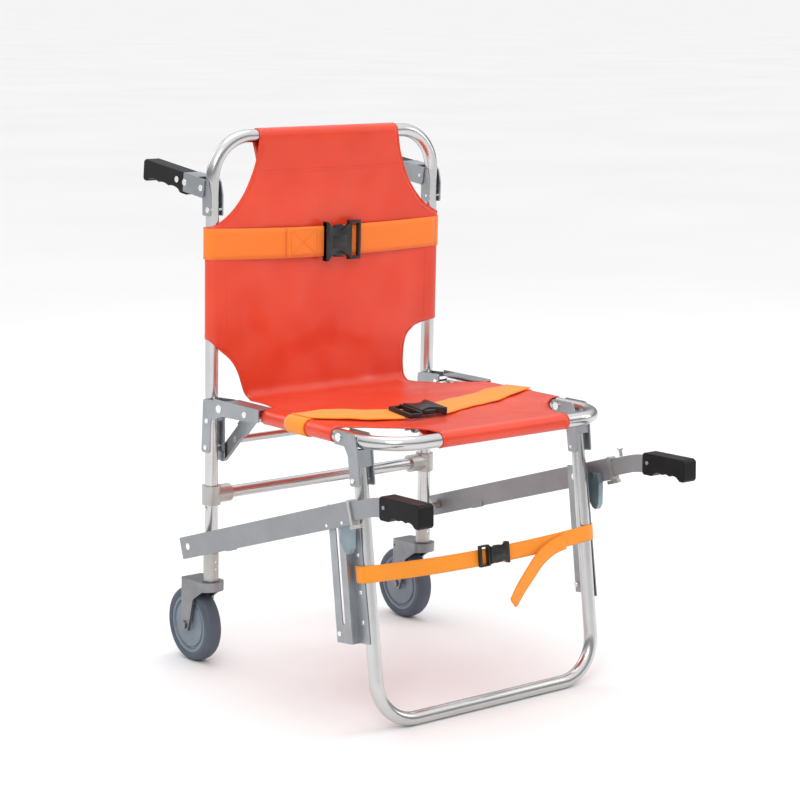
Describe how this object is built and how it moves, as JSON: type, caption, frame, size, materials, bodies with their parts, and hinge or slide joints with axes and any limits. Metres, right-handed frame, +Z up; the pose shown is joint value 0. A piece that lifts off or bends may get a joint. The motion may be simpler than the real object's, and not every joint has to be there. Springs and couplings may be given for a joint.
{
  "type": "folding stair chair",
  "caption": "Folding stair chair: tube frame, slung fabric seat and back, swivel rear casters, U front leg, sliding front handles and folding top handles.",
  "frame": {"origin": "on the floor, in the middle of the footprint", "axes": "+Z up, -Y ahead (the way the occupant faces), +X to the occupant's left"},
  "size_m": [0.563, 0.7902, 0.8948],
  "materials": {
    "tube": "polished anodised tube",
    "sheet": "zinc-plated pressed sheet",
    "bar": "satin anodised extrusion",
    "cast": "die-cast, clear",
    "rivet": "bright rivet",
    "latch": "blue zinc plate",
    "fork": "die-cast zinc",
    "grip": "moulded grip",
    "buckle": "moulded acetal",
    "cover": "coated fabric",
    "webbing": "woven polyester webbing",
    "tread": "grey rubber",
    "hub": "moulded nylon"
  },
  "bodies": {
    "frame": {"back_frame_tube": "tube", "rear_crossbar": "tube", "crossbar_clamps": "cast", "seat_hinge_brackets": "sheet", "strut_guides": "sheet", "top_handle_brackets": "sheet", "caster_sleeves": "cast", "bar_pivot_bolts": "rivet", "bar_pivot_spacers": "rivet", "frame_rivets": "rivet", "back_panel": "cover", "chest_strap": "webbing", "chest_buckle": "buckle"},
    "seat": {"seat_frame_tube": "tube", "seat_channels": "sheet", "seat_pins": "rivet", "seat_panel": "cover", "lap_strap": "webbing", "lap_buckle": "buckle"},
    "struts": {"fold_struts": "sheet", "fold_release_bar": "tube"},
    "front_leg": {"front_leg_tube": "tube", "leg_brackets": "sheet", "leg_rivets": "rivet", "leg_strap": "webbing", "leg_buckle": "buckle", "slot_bracket_left": "sheet", "slot_bracket_right": "sheet"},
    "slot_pin_left": {"slot_pin_left": "rivet"},
    "lift_bar_left": {"lift_bar_left": "bar", "bar_end_guide_left": "cast", "bar_rivets_left": "rivet", "latch_spring_left": "rivet"},
    "latch_left": {"latch_lever_left": "latch"},
    "front_handle_left": {"handle_bar_left": "bar", "front_grip_left": "grip"},
    "top_handle_left": {"top_handle_arm_left": "sheet", "top_handle_pins_left": "rivet", "top_grip_left": "grip"},
    "caster_left": {"caster_fork_left": "fork"},
    "wheel_left": {"wheel_hub_left": "hub", "wheel_tread_left": "tread"},
    "slot_pin_right": {"slot_pin_right": "rivet"},
    "lift_bar_right": {"lift_bar_right": "bar", "bar_end_guide_right": "cast", "bar_rivets_right": "rivet", "latch_spring_right": "rivet"},
    "latch_right": {"latch_lever_right": "latch"},
    "front_handle_right": {"handle_bar_right": "bar", "front_grip_right": "grip"},
    "top_handle_right": {"top_handle_arm_right": "sheet", "top_handle_pins_right": "rivet", "top_grip_right": "grip"},
    "caster_right": {"caster_fork_right": "fork"},
    "wheel_right": {"wheel_hub_right": "hub", "wheel_tread_right": "tread"},
    "lock_stud": {"handle_lock_stud": "rivet"}
  },
  "joints": [
    {"name": "seat_fold", "type": "hinge", "parent": "frame", "child": "seat", "pos_m": [0, 0.17155, 0.4465], "axis": [-1, 0, 0], "range_deg": [0, 82]},
    {"name": "front_leg_fold", "type": "hinge", "parent": "seat", "child": "front_leg", "pos_m": [0, -0.14645, 0.449], "axis": [1, 0, 0], "range_deg": [0, 89.2]},
    {"name": "strut_fold", "type": "hinge", "parent": "seat", "child": "struts", "pos_m": [0, 0.12255, 0.446], "axis": [1, 0, 0], "range_deg": [0, 59.3]},
    {"name": "lift_bar_fold_left", "type": "hinge", "parent": "frame", "child": "lift_bar_left", "pos_m": [0.266, 0.22264, 0.21204], "axis": [-1, 0, 0], "range_deg": [0, 60.6]},
    {"name": "slot_pin_slide_left", "type": "slide", "parent": "front_leg", "child": "slot_pin_left", "axis": [0, -0.1231, -0.9924], "range_m": [0, 0.045]},
    {"name": "front_handle_slide_left", "type": "slide", "parent": "lift_bar_left", "child": "front_handle_left", "axis": [0, -0.9542, 0.299], "range_m": [0, 0.12]},
    {"name": "latch_swing_left", "type": "hinge", "parent": "lift_bar_left", "child": "latch_left", "pos_m": [0.254, -0.18995, 0.3355], "axis": [-1, 0, 0], "range_deg": [0, 25], "stiffness_Nm_per_rad": 0.4, "springref_deg": -5.73},
    {"name": "top_handle_fold_left", "type": "hinge", "parent": "frame", "child": "top_handle_left", "pos_m": [0.226, 0.21751, 0.80131], "axis": [-1, 0, 0], "range_deg": [0, 64]},
    {"name": "caster_swivel_left", "type": "hinge", "parent": "frame", "child": "caster_left", "pos_m": [0.226, 0.22452, 0.14007], "axis": [0, -0.0262, 0.9997], "continuous": true},
    {"name": "wheel_spin_left", "type": "hinge", "parent": "caster_left", "child": "wheel_left", "pos_m": [0.226, 0.27455, 0.0635], "axis": [1, 0, 0], "continuous": true},
    {"name": "lift_bar_fold_right", "type": "hinge", "parent": "frame", "child": "lift_bar_right", "pos_m": [-0.266, 0.22264, 0.21204], "axis": [-1, 0, 0], "range_deg": [0, 60.6]},
    {"name": "slot_pin_slide_right", "type": "slide", "parent": "front_leg", "child": "slot_pin_right", "axis": [0, -0.1231, -0.9924], "range_m": [0, 0.045]},
    {"name": "front_handle_slide_right", "type": "slide", "parent": "lift_bar_right", "child": "front_handle_right", "axis": [0, -0.9542, 0.299], "range_m": [0, 0.12]},
    {"name": "latch_swing_right", "type": "hinge", "parent": "lift_bar_right", "child": "latch_right", "pos_m": [-0.254, -0.18995, 0.3355], "axis": [-1, 0, 0], "range_deg": [0, 25], "stiffness_Nm_per_rad": 0.4, "springref_deg": -5.73},
    {"name": "top_handle_fold_right", "type": "hinge", "parent": "frame", "child": "top_handle_right", "pos_m": [-0.226, 0.21751, 0.80131], "axis": [-1, 0, 0], "range_deg": [0, 64]},
    {"name": "caster_swivel_right", "type": "hinge", "parent": "frame", "child": "caster_right", "pos_m": [-0.226, 0.22452, 0.14007], "axis": [0, -0.0262, 0.9997], "continuous": true},
    {"name": "wheel_spin_right", "type": "hinge", "parent": "caster_right", "child": "wheel_right", "pos_m": [-0.226, 0.27455, 0.0635], "axis": [1, 0, 0], "continuous": true},
    {"name": "lock_stud_pull", "type": "slide", "parent": "front_handle_left", "child": "lock_stud", "axis": [0, 0.299, 0.9542], "range_m": [0, 0.006], "stiffness_N_per_m": 800, "springref_m": -0.002}
  ],
  "couplings": [
    {"joint": "front_leg_fold", "follows": "seat_fold", "ratio": 1.0862},
    {"joint": "strut_fold", "follows": "seat_fold", "ratio": 0.72146},
    {"joint": "lift_bar_fold_left", "follows": "seat_fold", "ratio": 0.73707},
    {"joint": "slot_pin_slide_left", "follows": "seat_fold", "m_per_rad": 0.030744},
    {"joint": "lift_bar_fold_right", "follows": "seat_fold", "ratio": 0.73707},
    {"joint": "slot_pin_slide_right", "follows": "seat_fold", "m_per_rad": 0.030744}
  ]
}
